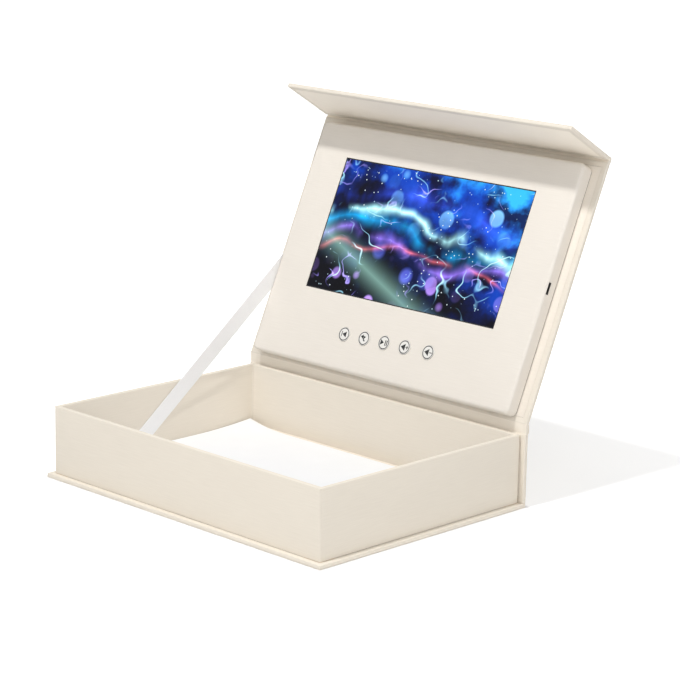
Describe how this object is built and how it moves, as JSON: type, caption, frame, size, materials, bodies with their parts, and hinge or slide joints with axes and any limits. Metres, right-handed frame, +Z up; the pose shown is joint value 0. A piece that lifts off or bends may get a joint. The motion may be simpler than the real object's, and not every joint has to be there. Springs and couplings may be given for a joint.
{
  "type": "video presentation box",
  "caption": "Book-style rigid paper box that opens to a tray; a padded panel in the hinged lid holds a flat screen, keys and a charging socket; a ribbon stays the lid, a magnetic flap shuts it.",
  "frame": {"origin": "middle of the underside of the base", "axes": "+X to the right along the front, +Y to the back, +Z up; the lid stands open"},
  "size_m": [0.2306, 0.2322, 0.2194],
  "materials": {
    "greyboard": "grey bookbinding board",
    "cover_paper": "cream paper with a fine linen emboss",
    "inner_paper": "cream paper with a fine linen emboss",
    "kraft_tape": "brown gummed paper tape",
    "white_foam": "soft matt white foam sheet",
    "dark_foam": "dark grey foam",
    "steel": "plain sheet steel",
    "magnet": "nickel plated",
    "satin_ribbon": "white satin",
    "screen_glass": "flat screen, lit picture",
    "light_guide": "white plastic",
    "flex_film": "amber film",
    "circuit_board": "green solder mask",
    "white_plug": "off white plastic",
    "black_plastic": "matt black",
    "battery_foil": "laminated foil pouch",
    "lead_red": "insulated wire",
    "lead_black": "insulated wire and black paper cone",
    "key_plastic": "satin white"
  },
  "bodies": {
    "base": {"base_board": "greyboard", "base_cover": "cover_paper", "base_liner": "inner_paper", "spine_board": "greyboard", "spine_cover": "cover_paper", "spine_liner": "inner_paper", "tray_floor": "greyboard", "tray_wall_front": "greyboard", "tray_wall_back": "greyboard", "tray_wall_left": "greyboard", "tray_wall_right": "greyboard", "tray_corner_tapes": "kraft_tape", "tray_wrap": "cover_paper", "tray_lining": "inner_paper", "foam_sheet": "white_foam", "catch_plates": "steel", "sensor_magnet": "magnet", "ribbon_stay": "satin_ribbon", "lid_hinge_strip": "cover_paper", "lid_hinge_lining": "inner_paper"},
    "lid": {"lid_board": "greyboard", "lid_cover": "cover_paper", "lid_liner": "inner_paper", "panel_rail_left": "dark_foam", "panel_rail_right": "dark_foam", "panel_rail_top": "dark_foam", "panel_rail_bottom": "dark_foam", "panel_face_board": "greyboard", "panel_cover": "cover_paper", "screen_glass": "screen_glass", "screen_backlight": "light_guide", "screen_frame": "steel", "screen_foam": "dark_foam", "screen_flex": "flex_film", "control_board": "circuit_board", "control_board_feet": "dark_foam", "board_plugs": "white_plug", "board_chips": "black_plastic", "usb_socket": "steel", "key_board": "circuit_board", "key_switches": "black_plastic", "key_cable": "white_plug", "battery": "battery_foil", "battery_leads": "lead_red", "speaker": "black_plastic", "speaker_cone": "lead_black", "speaker_leads": "lead_black", "flap_hinge_strip": "cover_paper", "flap_hinge_lining": "inner_paper"},
    "flap": {"flap_board": "greyboard", "flap_cover": "cover_paper", "flap_liner": "inner_paper", "flap_magnets": "magnet"},
    "key_previous": {"key_previous": "key_plastic"},
    "key_replay": {"key_replay": "key_plastic"},
    "key_play": {"key_play": "key_plastic"},
    "key_louder": {"key_louder": "key_plastic"},
    "key_quieter": {"key_quieter": "key_plastic"}
  },
  "joints": [
    {"name": "lid_hinge", "type": "hinge", "parent": "base", "child": "lid", "pos_m": [0, 0.08195, 0.0463], "axis": [1, 0, 0], "range_deg": [0, 113.9], "deforming": ["lid_hinge_strip", "lid_hinge_lining", "ribbon_stay"]},
    {"name": "flap_hinge", "type": "hinge", "parent": "lid", "child": "flap", "pos_m": [0, 0.14749, 0.19642], "axis": [1, 0, 0], "range_deg": [-83, 7], "deforming": ["flap_hinge_strip", "flap_hinge_lining"]},
    {"name": "key_previous_press", "type": "slide", "parent": "lid", "child": "key_previous", "axis": [0, 0.9143, -0.4051], "range_m": [0, 0.0003], "stiffness_N_per_m": 300},
    {"name": "key_replay_press", "type": "slide", "parent": "lid", "child": "key_replay", "axis": [0, 0.9143, -0.4051], "range_m": [0, 0.0003], "stiffness_N_per_m": 300},
    {"name": "key_play_press", "type": "slide", "parent": "lid", "child": "key_play", "axis": [0, 0.9143, -0.4051], "range_m": [0, 0.0003], "stiffness_N_per_m": 300},
    {"name": "key_louder_press", "type": "slide", "parent": "lid", "child": "key_louder", "axis": [0, 0.9143, -0.4051], "range_m": [0, 0.0003], "stiffness_N_per_m": 300},
    {"name": "key_quieter_press", "type": "slide", "parent": "lid", "child": "key_quieter", "axis": [0, 0.9143, -0.4051], "range_m": [0, 0.0003], "stiffness_N_per_m": 300}
  ]
}
